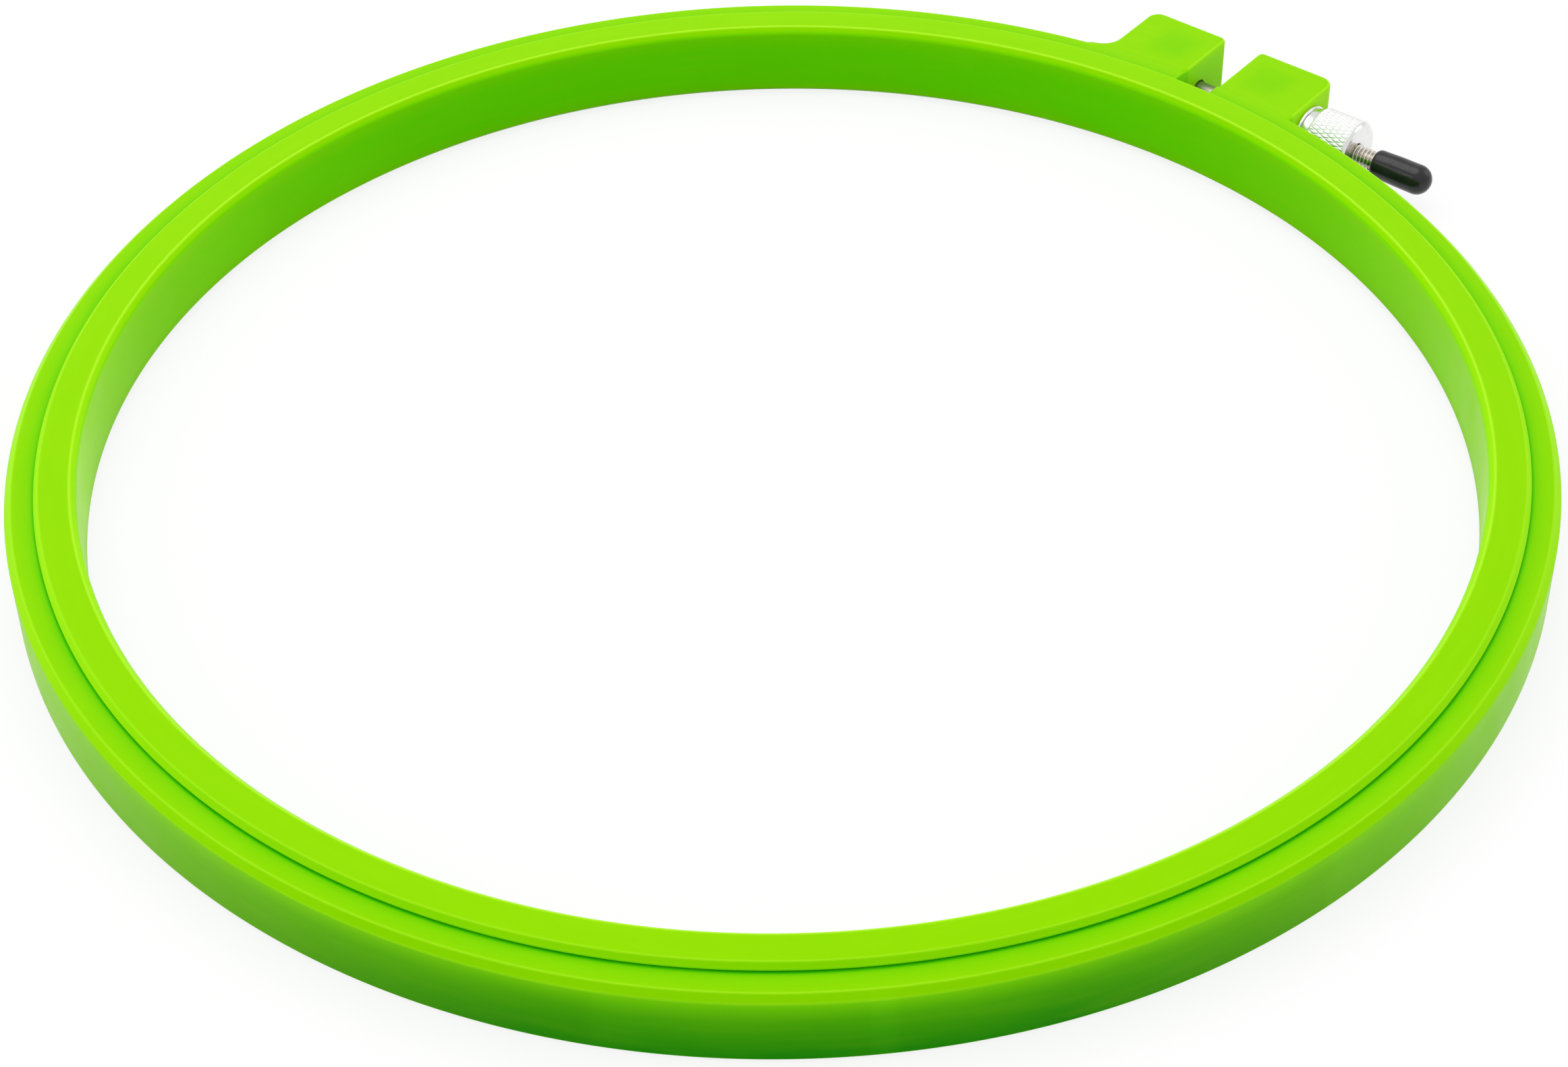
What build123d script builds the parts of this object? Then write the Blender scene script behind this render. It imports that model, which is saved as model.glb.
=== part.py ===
from build123d import *
import math
import os

# Embroidery hoop with a screw clamp, 254 mm (10 inch) nominal working size.
# Frame: origin on the hoop axis at half the height of the outer band, +Z up.
# The split and its two lugs are on +Y. The clamp screw runs along X, with its
# head on the -X side and the thumb nut on the +X side. Millimetres.
# Endings: _r radius, _c chamfer, _t thickness, _af across flats, _x0/_x1 ends along X.

cut_over = 1.0             # how far cutting tools start outside the solid
hex_turn = 30              # degrees, shared by the screw head and its pocket

# ---- outer ring: one moulding, split at +Y ----
outer_r = 131.5
outer_bore_r = 125.5
ring_h = 13.85
low = -ring_h / 2          # underside, the plane the hoop rests on
high = ring_h / 2          # top face
outer_top_c = 1.2
outer_low_c = 0.8
outer_bore_top_c = 0.4
outer_bore_low_c = 0.6

# ---- lugs ----
gap = 7.7                  # split between the lugs
split_y, split_len = 135, 40   # middle and length of the cut that makes the split
lug_x = 20.9               # outer end face of each lug
lug_y = 145.8              # flat far face
lug_root_y = 127.6         # the plan rectangle starts inside the band
lug_top = high - 0.05
lug_corner_r = 2.6         # far corners at the outer ends
lug_split_corner_r = 1.2   # far corners at the split
lug_top_r = 0.7            # softened top edges
lug_web_r = 4.0            # between the screw-head lug and the band
recess_x0, recess_x1 = 6.9, 15.5       # moulding recess under each lug
recess_y0, recess_y1 = 133.4, 142.8
recess_depth = 10.6
recess_corner_r = 1.2

# ---- inner ring: closed band with a lip that hangs over the outer ring ----
inner_bore_r = 119.3
inner_wall_r = 125.0       # outside wall under the lip
inner_top = high + 1.5
inner_bottom = low + 0.8
inner_bore_top_c = 1.0
inner_bore_low_c = 0.7
wall_low_inset = 0.9       # taper at the foot of the outside wall
wall_low_h = 1.6
lip_r = 126.4
lip_under = high + 0.2
lip_edge_low = high + 0.35
lip_edge_top = high + 0.65
lip_under_inset = 0.15
top_face_r = 125.6         # where the slope from the lip meets the top face

# ---- clamp screw, No. 8-32 ----
screw_y, screw_z = 136.1, -0.42
thread_r = 2.083
pitch = 25.4 / 32.0
thread_depth = 0.61 * pitch
thread_core_r = thread_r - thread_depth
lug_hole_r = 2.4
head_af = 7.0
head_t = 2.8
pocket_af = 7.4
pocket_depth = 3.0
pocket_floor_x = -lug_x + pocket_depth
head_x0 = pocket_floor_x - head_t
head_turn_in = 0.15        # corner turning starts this far inside the flats
head_turn_len = 0.75       # and ends this far along the head
head_turn_clear = 0.8      # reach of the turning cut beyond the flats
head_turn_over = 0.1       # start of the turning cut outside the head
shank_overlap = 0.2        # shank runs this far into the head
thread_x0 = 16.2           # end of the plain shank
shank_taper = 0.5
screw_end = 44.6
end_taper_len = 0.5
end_taper_drop = 0.35
ridge_x0 = thread_x0 + 0.2
ridge_x1 = screw_end - 1.2
ridge_sink = 0.06          # root of the ridge lies this deep in the core
ridge_root_half = 0.36 * pitch
ridge_crest_half = 0.07 * pitch

# ---- washer ----
washer_x0 = lug_x + 0.03
washer_t = 0.7
washer_r = 6.0
washer_bore_r = 2.25
washer_edge_r = 0.15

# ---- thumb nut: plain neck, then a knurled barrel ----
nut_x0 = washer_x0 + washer_t + 0.02
nut_x1 = 32.3
neck_r = 5.7
neck_len = 1.7
neck_c = 0.2
barrel_x0 = nut_x0 + neck_len
nut_r = 6.5
barrel_c = 0.45            # at the neck
nut_c = 0.55               # at the far end
nut_bore_r = thread_r + 0.05
nut_bore_near_c = 0.3
nut_bore_far_c = 0.35
knurl_count = 36           # grooves in each hand
knurl_depth = 0.24
knurl_flank = 0.9          # half width of a groove over its depth
knurl_proud = 0.15         # groove cutter stands this far above the barrel
knurl_over = 0.5           # groove runs this far past each end of the barrel
knurl_angle = 22           # degrees between groove and nut axis
knurl_lead = 2 * math.pi * nut_r / math.tan(math.radians(knurl_angle))

# ---- end cap ----
cap_x0 = 36.5
cap_x1 = 48.4
cap_r = 2.95               # at the start of the domed tip
cap_tip_x = cap_x1 - cap_r
cap_mouth_r = 2.8
mouth_round_len = 0.9      # rounded mouth edge, along the axis
mouth_round_h = 0.4        # and across it
cap_bore_r = thread_r + 0.02
cap_bore_c = 0.15
cap_bore_end = screw_end + 0.3

screw_axis = Axis((0, screw_y, screw_z), (1, 0, 0))
screw_plane = Plane(origin=(0, screw_y, screw_z), x_dir=(1, 0, 0), z_dir=(0, 0, 1))


def plane_x(x):
    """Plane square to the screw, local x along +Y and local y along +Z."""
    return Plane(origin=(x, screw_y, screw_z), x_dir=(0, 1, 0), z_dir=(1, 0, 0))


def make_outer_ring():
    with BuildPart() as ring:
        with BuildSketch(Plane.XZ):
            with BuildLine():
                Polyline(
                    (outer_bore_r + outer_bore_low_c, low),
                    (outer_r - outer_low_c, low),
                    (outer_r, low + outer_low_c),
                    (outer_r, high - outer_top_c),
                    (outer_r - outer_top_c, high),
                    (outer_bore_r + outer_bore_top_c, high),
                    (outer_bore_r, high - outer_bore_top_c),
                    (outer_bore_r, low + outer_bore_low_c),
                    close=True,
                )
            make_face()
        revolve(axis=Axis.Z)

        # both lugs as one block, then the split that parts them
        with BuildSketch(Plane.XY.offset(low)):
            with BuildLine():
                Polyline(
                    (-lug_x, lug_root_y),
                    (lug_x, lug_root_y),
                    (lug_x, lug_y),
                    (-lug_x, lug_y),
                    close=True,
                )
            make_face()
        extrude(amount=lug_top - low)
        with BuildSketch(Plane.XY.offset(low - cut_over)):
            with Locations((0, split_y)):
                Rectangle(gap, split_len)
        extrude(amount=ring_h + 2 * cut_over, mode=Mode.SUBTRACT)

        # rounded upright corners on the far face
        upright = ring.edges().filter_by(Axis.Z)
        far = upright.filter_by_position(Axis.Y, lug_y - 0.01, lug_y + 0.01)
        far_outer = far.filter_by(lambda e: abs(e.center().X) > lug_x - 0.1)
        far_split = far.filter_by(lambda e: abs(e.center().X) < lug_x - 0.1)
        fillet(far_outer, lug_corner_r)
        fillet(far_split, lug_split_corner_r)

        # web at the upright edge where the -X lug meets the band
        root = (
            ring.edges()
            .filter_by(Axis.Z)
            .filter_by(
                lambda e: e.center().X < -lug_x + 0.1
                and 127 < e.center().Y < 132
                and e.length > 5
            )
        )
        fillet(root, lug_web_r)

        # level edges of the lug tops, clear of the band
        rim = ring.edges().filter_by(
            lambda e: abs(e.center().Z - lug_top) < 0.01
            and e.bounding_box().max.Z - e.bounding_box().min.Z < 0.01
            and e.center().Y > 133
            and math.hypot(e.center().X, e.center().Y) > outer_r + 0.6
        )
        fillet(rim, lug_top_r)

        # screw hole through both lugs
        with BuildSketch(plane_x(-lug_x - cut_over)):
            Circle(lug_hole_r)
        extrude(amount=2 * (lug_x + cut_over), mode=Mode.SUBTRACT)

        # hexagon pocket that stops the screw turning
        with BuildSketch(plane_x(-lug_x - cut_over)):
            RegularPolygon(pocket_af / 2, 6, major_radius=False, rotation=hex_turn)
        extrude(amount=pocket_depth + cut_over, mode=Mode.SUBTRACT)

        # moulding recesses, open at the underside
        with BuildSketch(Plane.XY.offset(low - cut_over)):
            for side in (-1, 1):
                centre_x = side * (recess_x0 + recess_x1) / 2
                with Locations((centre_x, (recess_y0 + recess_y1) / 2)):
                    RectangleRounded(
                        recess_x1 - recess_x0, recess_y1 - recess_y0, recess_corner_r
                    )
        extrude(amount=recess_depth + cut_over, mode=Mode.SUBTRACT)
    return ring.part


def make_inner_ring():
    with BuildPart() as ring:
        with BuildSketch(Plane.XZ):
            with BuildLine():
                Polyline(
                    (inner_bore_r + inner_bore_low_c, inner_bottom),
                    (inner_wall_r - wall_low_inset, inner_bottom),
                    (inner_wall_r, inner_bottom + wall_low_h),
                    (inner_wall_r, lip_under),
                    (lip_r - lip_under_inset, lip_under),
                    (lip_r, lip_edge_low),
                    (lip_r, lip_edge_top),
                    (top_face_r, inner_top),
                    (inner_bore_r + inner_bore_top_c, inner_top),
                    (inner_bore_r, inner_top - inner_bore_top_c),
                    (inner_bore_r, inner_bottom + inner_bore_low_c),
                    close=True,
                )
            make_face()
        revolve(axis=Axis.Z)
    return ring.part


def make_clamp_screw():
    """Hexagon head, plain shank, then thread to the +X end."""
    with BuildPart() as screw:
        with BuildSketch(plane_x(head_x0)):
            RegularPolygon(head_af / 2, 6, major_radius=False, rotation=hex_turn)
        extrude(amount=head_t)

        # corners of the hexagon are turned off at the outer face
        with BuildSketch(screw_plane):
            with BuildLine():
                Polyline(
                    (head_x0 - head_turn_over, head_af / 2 - head_turn_in),
                    (head_x0 + head_turn_len, head_af / 2 + head_turn_clear),
                    (head_x0 - head_turn_over, head_af / 2 + head_turn_clear),
                    close=True,
                )
            make_face()
        revolve(axis=screw_axis, mode=Mode.SUBTRACT)

        # shank, thread core and tapered end
        with BuildSketch(screw_plane):
            with BuildLine():
                Polyline(
                    (pocket_floor_x - shank_overlap, 0),
                    (pocket_floor_x - shank_overlap, thread_r),
                    (thread_x0, thread_r),
                    (thread_x0 + shank_taper, thread_core_r),
                    (screw_end - end_taper_len, thread_core_r),
                    (screw_end, thread_core_r - end_taper_drop),
                    (screw_end, 0),
                    close=True,
                )
            make_face()
        revolve(axis=screw_axis)

        # helical ridge with a small crest flat
        ridge_origin = Vector(ridge_x0, screw_y, screw_z)
        with BuildLine():
            wind = Helix(
                pitch=pitch,
                height=ridge_x1 - ridge_x0,
                radius=thread_core_r,
                center=(ridge_x0, screw_y, screw_z),
                direction=(1, 0, 0),
            )
        outward = (wind @ 0 - ridge_origin).normalized()
        ridge_plane = Plane(
            origin=ridge_origin, x_dir=(1, 0, 0), z_dir=Vector(1, 0, 0).cross(outward)
        )
        with BuildSketch(ridge_plane):
            with BuildLine():
                Polyline(
                    (-ridge_root_half, thread_core_r - ridge_sink),
                    (ridge_root_half, thread_core_r - ridge_sink),
                    (ridge_crest_half, thread_r),
                    (-ridge_crest_half, thread_r),
                    close=True,
                )
            make_face()
        sweep(is_frenet=True)
    return screw.part


def make_washer():
    with BuildPart() as washer:
        with BuildSketch(plane_x(washer_x0)):
            Circle(washer_r)
            Circle(washer_bore_r, mode=Mode.SUBTRACT)
        extrude(amount=washer_t)
        circles = washer.edges().filter_by(GeomType.CIRCLE)
        fillet(circles.filter_by(lambda e: e.radius > washer_r - 0.1), washer_edge_r)
    return washer.part


def make_knurl_groove(lefthand):
    """Cutter for one V groove, wound about Z."""
    half_width = (knurl_depth + knurl_proud) * knurl_flank
    with BuildPart() as groove:
        with BuildLine():
            wind = Helix(
                pitch=knurl_lead,
                height=nut_x1 - barrel_x0 + 2 * knurl_over,
                radius=nut_r,
                lefthand=lefthand,
            )
        start = wind @ 0
        with BuildSketch(Plane(origin=start, x_dir=Vector(start.X, start.Y, 0), z_dir=wind % 0)):
            with BuildLine():
                Polyline(
                    (knurl_proud, -half_width),
                    (knurl_proud, half_width),
                    (-knurl_depth, 0),
                    close=True,
                )
            make_face()
        sweep(is_frenet=True)
    return groove.part


def make_thumb_nut():
    # right-hand grooves are cut first, then the left-hand ones across them
    grooves = [make_knurl_groove(lefthand) for lefthand in (False, True)]
    with BuildPart() as nut:
        with BuildSketch(screw_plane):
            with BuildLine():
                Polyline(
                    (nut_x0, nut_bore_r + nut_bore_near_c),
                    (nut_x0, neck_r - neck_c),
                    (nut_x0 + neck_c, neck_r),
                    (barrel_x0, neck_r),
                    (barrel_x0, nut_r - barrel_c),
                    (barrel_x0 + barrel_c, nut_r),
                    (nut_x1 - nut_c, nut_r),
                    (nut_x1, nut_r - nut_c),
                    (nut_x1, nut_bore_r + nut_bore_far_c),
                    (nut_x1 - nut_bore_far_c, nut_bore_r),
                    (nut_x0 + nut_bore_near_c, nut_bore_r),
                    close=True,
                )
            make_face()
        revolve(axis=screw_axis)
        for groove in grooves:
            with Locations(Location(plane_x(barrel_x0 - knurl_over))):
                with PolarLocations(0, knurl_count):
                    add(groove, mode=Mode.SUBTRACT)
    return nut.part


def make_end_cap():
    """Blind sleeve over the screw end, with a domed tip."""
    diagonal = math.sin(math.pi / 4)   # places the middle point of each quarter arc
    with BuildPart() as cap:
        with BuildSketch(screw_plane):
            with BuildLine():
                bore = Polyline(
                    (cap_bore_end, 0),
                    (cap_bore_end, cap_bore_r),
                    (cap_x0 + cap_bore_c, cap_bore_r),
                    (cap_x0, cap_bore_r + cap_bore_c),
                    (cap_x0, cap_mouth_r - mouth_round_h),
                )
                mouth = ThreePointArc(
                    bore @ 1,
                    (
                        cap_x0 + mouth_round_len * (1 - diagonal),
                        cap_mouth_r - mouth_round_h * (1 - diagonal),
                    ),
                    (cap_x0 + mouth_round_len, cap_mouth_r),
                )
                side = Line(mouth @ 1, (cap_tip_x, cap_r))
                dome = ThreePointArc(
                    side @ 1,
                    (cap_tip_x + cap_r * diagonal, cap_r * diagonal),
                    (cap_x1, 0),
                )
                Line(dome @ 1, bore @ 0)
            make_face()
        revolve(axis=screw_axis)
    return cap.part


pieces = {
    "outer_ring": make_outer_ring,
    "inner_ring": make_inner_ring,
    "clamp_screw": make_clamp_screw,
    "washer": make_washer,
    "thumb_nut": make_thumb_nut,
    "end_cap": make_end_cap,
}

os.makedirs("parts", exist_ok=True)
for name, make_piece in pieces.items():
    piece = make_piece()
    piece.label = name
    export_step(piece, f"parts/{name}.step")
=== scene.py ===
import math
from types import SimpleNamespace

import bmesh
import bpy
import numpy as np
from mathutils import Matrix, Vector


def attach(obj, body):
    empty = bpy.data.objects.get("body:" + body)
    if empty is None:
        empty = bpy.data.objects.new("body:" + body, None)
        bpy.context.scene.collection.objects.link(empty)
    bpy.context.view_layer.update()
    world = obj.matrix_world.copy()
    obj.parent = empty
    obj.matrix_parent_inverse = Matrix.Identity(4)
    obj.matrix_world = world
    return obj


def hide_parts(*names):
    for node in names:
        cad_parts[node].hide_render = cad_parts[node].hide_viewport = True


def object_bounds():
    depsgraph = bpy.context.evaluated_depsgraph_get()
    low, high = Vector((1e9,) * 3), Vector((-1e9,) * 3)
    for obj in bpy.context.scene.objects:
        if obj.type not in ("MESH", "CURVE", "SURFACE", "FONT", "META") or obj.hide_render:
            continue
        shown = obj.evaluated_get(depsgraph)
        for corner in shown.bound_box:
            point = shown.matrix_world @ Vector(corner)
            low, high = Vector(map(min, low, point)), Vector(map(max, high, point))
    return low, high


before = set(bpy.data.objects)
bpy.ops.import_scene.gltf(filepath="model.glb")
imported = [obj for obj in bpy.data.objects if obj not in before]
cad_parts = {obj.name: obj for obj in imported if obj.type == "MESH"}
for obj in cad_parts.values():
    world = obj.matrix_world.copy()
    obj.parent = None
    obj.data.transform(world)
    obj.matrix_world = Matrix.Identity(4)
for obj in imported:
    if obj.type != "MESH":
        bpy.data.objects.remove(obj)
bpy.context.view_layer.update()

# ------------------------------------------------------------------ dimensions
# All sizes are in millimetres; meshes are built in metres.
MM = 0.001

# rings
RING_H = 13.85
LOW, HIGH = -RING_H / 2, RING_H / 2
OUTER_R, OUTER_BORE = 131.5, 125.5
OUTER_CHAMFER = 1.2
INNER_BORE, INNER_WALL, LIP_R = 119.3, 125.0, 126.4
INNER_TOP, INNER_LOW = HIGH + 1.5, LOW + 0.8
BORE_CHAMFER, LIP_CHAMFER = 1.0, 0.8
RING_STEPS = 720

# lugs, and the web that joins the head-side lug to the band
GAP, LUG_X, LUG_Y, LUG_ROOT = 7.7, 20.9, 145.8, 127.6
LUG_TOP = HIGH - 0.05
LUG_FOOT = LOW + 0.004  # a hair above the band's underside, so that no faces coincide
TOP_ROUND, FOOT_ROUND = 0.8, 0.3
ROOT_ROUND, GAP_ROUND, END_ROUND = 0.9, 1.2, 2.6  # plan corners
WEB_R, WEB_STEPS = 4.0, 14
RECESS_X, RECESS_Y = (6.9, 15.5), (133.4, 142.8)
RECESS_DEPTH, RECESS_ROUND = 10.6, 1.2
HOLE_R = 2.4
POCKET_AF, POCKET_D = 7.4, 3.0

# screw: its axis is parallel to X through (AXIS_Y, AXIS_Z)
AXIS_Y, AXIS_Z = 136.1, -0.42
THREAD_R, PITCH = 2.083, 25.4 / 32.0
CORE_R = THREAD_R - 0.61 * PITCH
THREAD_START, SCREW_END = 16.2, 44.6
THREAD_STOP = SCREW_END - 0.45
HEAD_AF, HEAD_T = 7.0, 2.8
SEAT_X = -LUG_X + POCKET_D
HEAD_X = SEAT_X - HEAD_T

# washer
WASHER_X, WASHER_T, WASHER_R, WASHER_BORE = LUG_X + 0.03, 0.7, 6.0, 2.25

# thumb nut: a plain neck and a knurled barrel
NUT_X, NUT_END, NUT_R = WASHER_X + WASHER_T + 0.02, 32.3, 6.5
NECK_R, NECK_L = 5.7, 1.7
BARREL_X = NUT_X + NECK_L
NUT_BORE = THREAD_R + 0.05
KNURL_COUNT = 46  # diamonds round the barrel
KNURL_L = 2.45  # axial length of a diamond
KNURL_DEPTH = 0.15
KNURL_X, KNURL_END = BARREL_X + 0.34, NUT_END - 0.62
KNURL_ROWS = 84

# end cap
CAP_X, CAP_END, CAP_R, MOUTH_R = 36.5, 48.4, 2.95, 2.8
CAP_BORE = THREAD_R + 0.02
RIM_L, RIM_H = 0.85, 0.5  # rolled rim at the mouth


# ------------------------------------------------------------------ shape helpers
def quarter(steps):
    """Angles from 0 to a quarter turn."""
    return [math.pi / 2 * k / steps for k in range(steps + 1)]


def round_corners(corners, steps, closed=True):
    """Rounds a polygon of (u, v, corner radius) rows, with the given steps to an arc."""
    points = [np.array(row[:2], float) for row in corners]
    count = len(points)
    out = []
    for i, corner in enumerate(points):
        radius = corners[i][2]
        if radius <= 0 or (not closed and i in (0, count - 1)):
            out.append(tuple(corner))
            continue
        back = points[i - 1] - corner
        ahead = points[(i + 1) % count] - corner
        back_len, ahead_len = np.linalg.norm(back), np.linalg.norm(ahead)
        back, ahead = back / back_len, ahead / ahead_len
        angle = math.acos(max(-1.0, min(1.0, float(back @ ahead))))
        # a tight corner gets a smaller arc, so that neighbouring arcs never meet
        cut = min(radius / math.tan(angle / 2), 0.49 * back_len, 0.49 * ahead_len)
        radius = cut * math.tan(angle / 2)
        middle = (back + ahead) / np.linalg.norm(back + ahead)
        centre = corner + middle * (radius / math.sin(angle / 2))
        start = corner + back * cut - centre
        end = corner + ahead * cut - centre
        sweep = math.pi - angle
        if start[0] * end[1] - start[1] * end[0] <= 0:
            sweep = -sweep
        for k in range(steps + 1):
            turn = sweep * k / steps
            cos, sin = math.cos(turn), math.sin(turn)
            spoke = [cos * start[0] - sin * start[1], sin * start[0] + cos * start[1]]
            out.append(tuple(centre + np.array(spoke)))
    return out


def zigzag(phase):
    """0 at whole phases, 1 halfway between them, straight in between."""
    return abs(2 * (phase - math.floor(phase + 0.5)))


def soften(height, share):
    """Blends a straight flank with a share of a smooth one."""
    return height * height * (3 - 2 * height) * share + height * (1 - share)


# ------------------------------------------------------------------ mesh tools
def skin(rows, columns, closed=False):
    """Quads between successive loops of points; closed also joins the last loop to the first."""
    faces = []
    for k in range(rows if closed else rows - 1):
        this, other = k * columns, (k + 1) % rows * columns
        for i in range(columns):
            j = (i + 1) % columns
            faces.append((this + i, this + j, other + j, other + i))
    return faces


def make_object(name, verts, faces, sharp=32.0):
    mesh = bpy.data.meshes.new(name)
    mesh.from_pydata([tuple(float(c) for c in vert) for vert in verts], [], faces)
    mesh.validate()
    obj = bpy.data.objects.new(name, mesh)
    bpy.context.scene.collection.objects.link(obj)
    work = bmesh.new()
    work.from_mesh(mesh)
    bmesh.ops.recalc_face_normals(work, faces=work.faces)
    work.to_mesh(mesh)
    work.free()
    shade(obj, sharp)
    return obj


def shade(obj, angle):
    obj.data.shade_smooth()
    obj.data.set_sharp_from_angle(angle=math.radians(angle))


def weight_normals(obj):
    mod = obj.modifiers.new("face_weighted_normals", "WEIGHTED_NORMAL")
    mod.keep_sharp = True
    mod.weight = 60
    mod.mode = "FACE_AREA"


def lathe_z(name, profile):
    """Closed profile of (radius, z) turned about Z into one closed band."""
    verts = []
    for i in range(RING_STEPS):
        angle = 2 * math.pi * i / RING_STEPS
        for radius, z in profile:
            verts.append((radius * math.sin(angle) * MM, radius * math.cos(angle) * MM, z * MM))
    return make_object(name, verts, skin(RING_STEPS, len(profile), closed=True), sharp=40)


def lathe_x(name, profile, steps, closed=True, shape=None, sharp=32.0):
    """Profile of (x, radius) turned about the screw's axis.
    shape(x, radius, angle, row) may alter the radius. An open profile gets flat end caps."""
    verts = []
    for row, (x, radius) in enumerate(profile):
        for i in range(steps):
            angle = 2 * math.pi * i / steps
            out = shape(x, radius, angle, row) if shape else radius
            y, z = AXIS_Y + out * math.cos(angle), AXIS_Z + out * math.sin(angle)
            verts.append((x * MM, y * MM, z * MM))
    rows = len(profile)
    faces = skin(rows, steps, closed)
    if not closed:
        faces += [tuple(range(steps)), tuple(range((rows - 1) * steps, rows * steps))]
    return make_object(name, verts, faces, sharp)


def block(name, outline, bottom, top):
    """Plan outline raised straight from bottom to top."""
    count = len(outline)
    verts = [(x * MM, y * MM, z * MM) for z in (bottom, top) for x, y in outline]
    faces = [tuple(range(count))[::-1], tuple(range(count, 2 * count))]
    return make_object(name, verts, faces + skin(2, count))


def boolean(obj, cutter, operation):
    """Applies the boolean at once and removes the cutter."""
    mod = obj.modifiers.new("cut", "BOOLEAN")
    mod.operation = operation
    mod.solver = "EXACT"
    mod.object = cutter
    bpy.context.view_layer.update()
    depsgraph = bpy.context.evaluated_depsgraph_get()
    mesh = bpy.data.meshes.new_from_object(obj.evaluated_get(depsgraph))
    obj.modifiers.clear()
    old = obj.data
    obj.data = mesh
    mesh.name = obj.name
    bpy.data.meshes.remove(old)
    cutter_mesh = cutter.data
    bpy.data.objects.remove(cutter)
    bpy.data.meshes.remove(cutter_mesh)


def tidy(obj):
    """Cleans up the slivers that booleans leave."""
    work = bmesh.new()
    work.from_mesh(obj.data)
    bmesh.ops.remove_doubles(work, verts=work.verts, dist=2e-7)
    bmesh.ops.dissolve_degenerate(work, edges=work.edges, dist=1e-7)
    bmesh.ops.recalc_face_normals(work, faces=work.faces)
    work.to_mesh(obj.data)
    work.free()


# ------------------------------------------------------------------ inner ring
# radius, z, corner radius
INNER_PROFILE = [
    (INNER_BORE + 0.7, INNER_LOW, 0.25),
    (INNER_WALL - 0.9, INNER_LOW, 0.3),
    (INNER_WALL, INNER_LOW + 1.6, 0.3),
    (INNER_WALL, HIGH + 0.2, 0.12),
    (LIP_R - 0.15, HIGH + 0.2, 0.05),
    (LIP_R, HIGH + 0.35, 0.08),
    (LIP_R, HIGH + 0.65, 0.12),
    (LIP_R - LIP_CHAMFER, INNER_TOP, 0.28),
    (INNER_BORE + BORE_CHAMFER, INNER_TOP, 0.24),
    (INNER_BORE, INNER_TOP - BORE_CHAMFER, 1.3),
    (INNER_BORE, INNER_LOW + 0.7, 0.3),
]


def build_inner_ring():
    ring = lathe_z("inner_ring_body", round_corners(INNER_PROFILE, 6))
    weight_normals(ring)
    return ring


# ------------------------------------------------------------------ outer ring
# radius, z, corner radius
OUTER_PROFILE = [
    (OUTER_BORE + 0.6, LOW, 0.25),
    (OUTER_R - 0.8, LOW, 0.35),
    (OUTER_R, LOW + 0.8, 0.35),
    (OUTER_R, HIGH - OUTER_CHAMFER, 0.55),
    (OUTER_R - OUTER_CHAMFER, HIGH, 0.42),
    (OUTER_BORE + 0.4, HIGH, 0.15),
    (OUTER_BORE, HIGH - 0.4, 0.15),
    (OUTER_BORE, LOW + 0.6, 0.25),
]


def lug_solid(name, outline):
    """Counter-clockwise plan outline raised to a block with rounded top and bottom rims."""

    def unit(rows):
        return rows / np.maximum(np.linalg.norm(rows, axis=1), 1e-9)[:, None]

    def outward(edges):
        return unit(np.stack([edges[:, 1], -edges[:, 0]], 1))

    outline = np.array(outline, float)
    before = outward(outline - np.roll(outline, 1, 0))
    after = outward(np.roll(outline, -1, 0) - outline)
    mitre = unit(before + after)
    mitre /= np.maximum((mitre * before).sum(1), 0.3)[:, None]
    # (inset, z) of each level
    levels = [
        (FOOT_ROUND * (1 - math.sin(turn)), LUG_FOOT + FOOT_ROUND * (1 - math.cos(turn)))
        for turn in quarter(4)
    ] + [
        (TOP_ROUND * (1 - math.cos(turn)), LUG_TOP - TOP_ROUND * (1 - math.sin(turn)))
        for turn in quarter(6)
    ]
    verts = []
    for inset, z in levels:
        verts += [(x * MM, y * MM, z * MM) for x, y in outline - mitre * inset]
    count = len(outline)
    faces = skin(len(levels), count)
    faces += [tuple(range(count))[::-1], tuple(range(len(verts) - count, len(verts)))]
    return make_object(name, verts, faces)


def nut_lug_outline():
    corners = [
        (GAP / 2, LUG_ROOT, ROOT_ROUND),
        (LUG_X, LUG_ROOT, ROOT_ROUND),
        (LUG_X, LUG_Y, END_ROUND),
        (GAP / 2, LUG_Y, GAP_ROUND),
    ]
    return round_corners(corners, 10)


def head_lug_outline():
    """The lug at -X, with a concave web of radius WEB_R that runs into the band."""
    web_x = -LUG_X - WEB_R
    web_y = math.sqrt((OUTER_R + WEB_R) ** 2 - web_x**2)
    # the arc ends just inside the band's wall
    web_end = np.array([web_x, web_y]) * (OUTER_R - 0.03) / (OUTER_R + WEB_R)
    sweep = math.atan2(web_end[1] - web_y, web_end[0] - web_x)
    web = []
    for k in range(WEB_STEPS + 1):
        turn = sweep * k / WEB_STEPS
        web.append((web_x + WEB_R * math.cos(turn), web_y + WEB_R * math.sin(turn)))
    corners = [
        (-GAP / 2, LUG_ROOT, ROOT_ROUND),
        (-GAP / 2, LUG_Y, GAP_ROUND),
        (-LUG_X, LUG_Y, END_ROUND),
        (-LUG_X, web_y, 0),  # where the web starts
    ]
    # the web's foot runs on a little way inside the band before it turns in
    run_on, dip = 1.6, 0.42
    radial = web_end / np.linalg.norm(web_end)
    around = np.array([-radial[1], radial[0]])
    foot = web_end + run_on * (math.cos(dip) * around - math.sin(dip) * radial)
    return round_corners(corners, 10)[:-1] + web + [tuple(foot), tuple(foot * 0.982)]


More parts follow.
